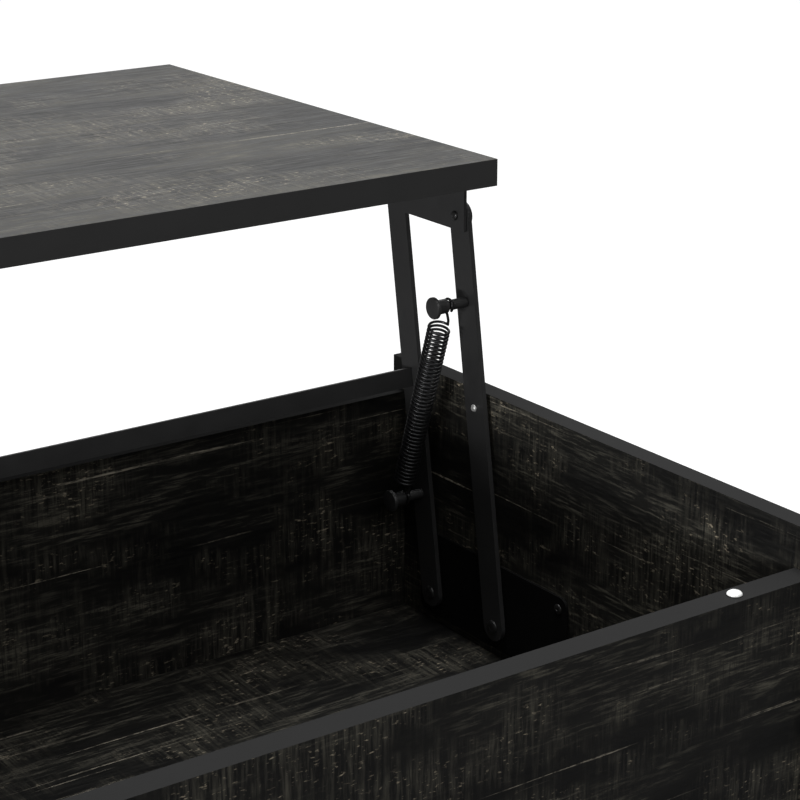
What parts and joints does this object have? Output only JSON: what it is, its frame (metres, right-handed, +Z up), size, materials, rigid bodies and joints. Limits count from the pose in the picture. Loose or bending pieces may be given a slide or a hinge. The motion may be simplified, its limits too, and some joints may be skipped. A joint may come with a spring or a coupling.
{
  "type": "lift top coffee table",
  "caption": "Oblong coffee table of dark wood-look boards whose top lifts and swings forward on sprung parallel arms, over a storage compartment and open shelf.",
  "frame": {"origin": "on the floor, under the middle of the outline that the raised table covers", "axes": "+Z up, -Y towards the user at the front, X across the width"},
  "size_m": [1, 0.7736, 0.623],
  "materials": {
    "wood_film": "near-black distressed wood-grain film, satin",
    "black_steel": "satin black powder coat",
    "rivet_steel": "dark zinc",
    "spring_steel": "oiled spring wire",
    "clear_bumper": "translucent soft plastic",
    "glide_plastic": "moulded"
  },
  "bodies": {
    "cabinet": {"side_panel_left": "wood_film", "side_panel_right": "wood_film", "rear_panel": "wood_film", "front_panel": "wood_film", "compartment_floor": "wood_film", "lower_shelf": "wood_film", "shelf_divider": "wood_film", "base_rail_front": "wood_film", "base_rail_rear": "wood_film", "floor_glide_front_left": "glide_plastic", "floor_glide_front_right": "glide_plastic", "floor_glide_rear_left": "glide_plastic", "floor_glide_rear_right": "glide_plastic", "rear_bumper_left": "clear_bumper", "rear_bumper_right": "clear_bumper", "base_plate_left": "black_steel", "base_plate_right": "black_steel", "base_rivet_front_left": "rivet_steel", "base_rivet_front_right": "rivet_steel", "base_rivet_rear_left": "rivet_steel", "base_rivet_rear_right": "rivet_steel", "plate_screw_1_left": "rivet_steel", "plate_screw_1_right": "rivet_steel", "plate_screw_2_left": "rivet_steel", "plate_screw_2_right": "rivet_steel", "plate_screw_3_left": "rivet_steel", "plate_screw_3_right": "rivet_steel", "plate_screw_4_left": "rivet_steel", "plate_screw_4_right": "rivet_steel"},
    "rear_arm_left": {"rear_arm_left": "black_steel", "rear_arm_stud_left": "black_steel", "rear_arm_pin_left": "rivet_steel"},
    "rear_arm_right": {"rear_arm_right": "black_steel", "rear_arm_stud_right": "black_steel", "rear_arm_pin_right": "rivet_steel"},
    "front_arms": {"front_arm_left": "black_steel", "front_arm_right": "black_steel", "front_arm_stud_left": "black_steel", "front_arm_stud_right": "black_steel", "cross_bar": "black_steel"},
    "tabletop": {"top_panel": "wood_film", "top_bracket_left": "black_steel", "top_bracket_right": "black_steel", "top_rivet_front_left": "rivet_steel", "top_rivet_front_right": "rivet_steel", "top_rivet_rear_left": "rivet_steel", "top_rivet_rear_right": "rivet_steel", "flange_screw_1_left": "rivet_steel", "flange_screw_1_right": "rivet_steel", "flange_screw_2_left": "rivet_steel", "flange_screw_2_right": "rivet_steel", "flange_screw_3_left": "rivet_steel", "flange_screw_3_right": "rivet_steel"},
    "spring_left": {"spring_left": "spring_steel"},
    "spring_hook_left": {"spring_hook_left": "spring_steel"},
    "spring_right": {"spring_right": "spring_steel"},
    "spring_hook_right": {"spring_hook_right": "spring_steel"}
  },
  "joints": [
    {"name": "lift", "type": "hinge", "parent": "cabinet", "child": "rear_arm_left", "pos_m": [-0.47925, 0.07213, 0.2774], "axis": [-1, 0, 0], "range_deg": [0, 75.13]},
    {"name": "rear_arm_right_hinge", "type": "hinge", "parent": "cabinet", "child": "rear_arm_right", "pos_m": [0.47925, 0.07213, 0.2774], "axis": [-1, 0, 0], "range_deg": [0, 75.13]},
    {"name": "front_arms_hinge", "type": "hinge", "parent": "cabinet", "child": "front_arms", "pos_m": [0, -0.00487, 0.2774], "axis": [-1, 0, 0], "range_deg": [0, 75.13]},
    {"name": "top_hinge", "type": "hinge", "parent": "rear_arm_left", "child": "tabletop", "pos_m": [-0.47925, 0.02628, 0.57701], "axis": [-1, 0, 0], "range_deg": [-75.13, 0]},
    {"name": "spring_left_hinge", "type": "hinge", "parent": "rear_arm_left", "child": "spring_left", "pos_m": [-0.4585, 0.03568, 0.51563], "axis": [-1, 0, 0], "range_deg": [-19.19, 0]},
    {"name": "spring_left_stretch", "type": "slide", "parent": "spring_left", "child": "spring_hook_left", "axis": [0, -0.309, -0.9511], "range_m": [0, 0.06618], "deforming": ["spring_left", "spring_hook_left"]},
    {"name": "spring_right_hinge", "type": "hinge", "parent": "rear_arm_right", "child": "spring_right", "pos_m": [0.4585, 0.03568, 0.51563], "axis": [-1, 0, 0], "range_deg": [-19.19, 0]},
    {"name": "spring_right_stretch", "type": "slide", "parent": "spring_right", "child": "spring_hook_right", "axis": [0, -0.309, -0.9511], "range_m": [0, 0.06618], "deforming": ["spring_right", "spring_hook_right"]}
  ],
  "couplings": [
    {"joint": "rear_arm_right_hinge", "follows": "lift", "ratio": 1},
    {"joint": "front_arms_hinge", "follows": "lift", "ratio": 1},
    {"joint": "top_hinge", "follows": "lift", "ratio": -1},
    {"joint": "spring_left_hinge", "follows": "lift", "ratio": -0.2554},
    {"joint": "spring_left_stretch", "follows": "lift", "m_per_rad": 0.050472},
    {"joint": "spring_right_hinge", "follows": "lift", "ratio": -0.2554},
    {"joint": "spring_right_stretch", "follows": "lift", "m_per_rad": 0.050472}
  ]
}
